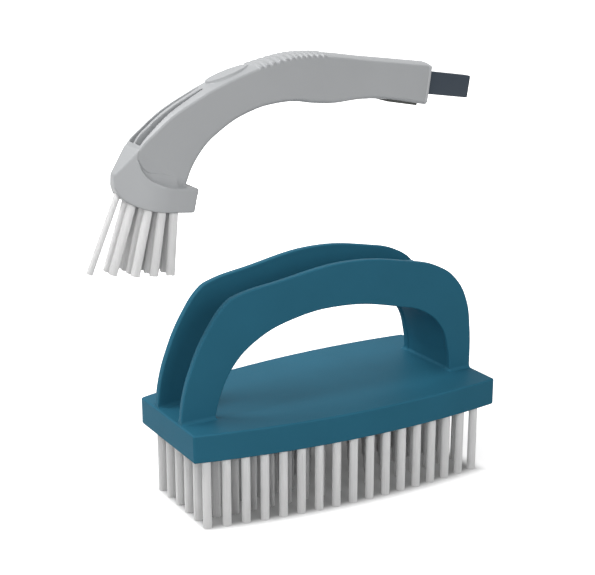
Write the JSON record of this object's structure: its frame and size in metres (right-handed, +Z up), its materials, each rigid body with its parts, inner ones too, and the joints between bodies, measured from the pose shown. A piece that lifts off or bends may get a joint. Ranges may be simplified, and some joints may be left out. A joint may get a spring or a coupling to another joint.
{
  "type": "two-in-one scrub and detail brush",
  "caption": "Hand scrub brush with an open channelled grip, and a curved detail brush with a splayed head that nests in the grip and is shown lifted out of it.",
  "frame": {"origin": "on the floor under the middle of the whole object's box, with the detail brush lifted out", "axes": "+X along the brush from its narrow end to its wide end, +Y across it, +Z up from the tips of the scrub tufts"},
  "size_m": [0.203, 0.0854, 0.2106],
  "materials": {
    "teal_moulding": "satin teal polypropylene",
    "light_grey_moulding": "satin light grey plastic",
    "grey_end_cap": "satin light grey plastic",
    "slate_bar": "satin slate grey plastic",
    "dark_latch_pad": "matt dark soft plastic",
    "white_bristle": "bundled white nylon filaments",
    "anchor_wire": "drawn flat wire",
    "spring_steel": "rolled spring strip"
  },
  "bodies": {
    "scrub_brush": {"scrub_body": "teal_moulding", "scrub_tufts_row_1": "white_bristle", "scrub_tufts_row_2": "white_bristle", "scrub_tufts_row_3": "white_bristle", "scrub_tufts_row_4": "white_bristle", "scrub_tufts_row_5": "white_bristle", "scrub_tufts_row_6": "white_bristle"},
    "detail_brush": {"detail_arm": "light_grey_moulding", "end_cap": "grey_end_cap", "tongue": "slate_bar", "latch_leaf": "spring_steel", "detail_tuft_1_1": "white_bristle", "detail_tuft_2_1": "white_bristle", "detail_tuft_2_2": "white_bristle", "detail_tuft_3_1": "white_bristle", "detail_tuft_3_2": "white_bristle", "detail_tuft_3_3": "white_bristle", "detail_tuft_3_4": "white_bristle", "detail_tuft_4_1": "white_bristle", "detail_tuft_4_2": "white_bristle", "detail_tuft_4_3": "white_bristle", "detail_tuft_4_4": "white_bristle", "detail_tuft_5_1": "white_bristle", "detail_tuft_5_2": "white_bristle", "detail_tuft_5_3": "white_bristle", "detail_tuft_5_4": "white_bristle", "detail_anchor_1_1": "anchor_wire", "detail_anchor_2_1": "anchor_wire", "detail_anchor_2_2": "anchor_wire", "detail_anchor_3_1": "anchor_wire", "detail_anchor_3_2": "anchor_wire", "detail_anchor_3_3": "anchor_wire", "detail_anchor_3_4": "anchor_wire", "detail_anchor_4_1": "anchor_wire", "detail_anchor_4_2": "anchor_wire", "detail_anchor_4_3": "anchor_wire", "detail_anchor_4_4": "anchor_wire", "detail_anchor_5_1": "anchor_wire", "detail_anchor_5_2": "anchor_wire", "detail_anchor_5_3": "anchor_wire", "detail_anchor_5_4": "anchor_wire"},
    "latch_button": {"latch_pad": "dark_latch_pad"}
  },
  "joints": [
    {"name": "detail_dock", "type": "slide", "parent": "scrub_brush", "child": "detail_brush", "axis": [0.153, 0, 0.9882], "range_m": [-0.095, 0]},
    {"name": "latch_press", "type": "slide", "parent": "detail_brush", "child": "latch_button", "axis": [0.1876, 0, 0.9822], "range_m": [0, 0.0008], "stiffness_N_per_m": 300, "springref_m": -0.001, "deforming": ["latch_leaf"]}
  ]
}
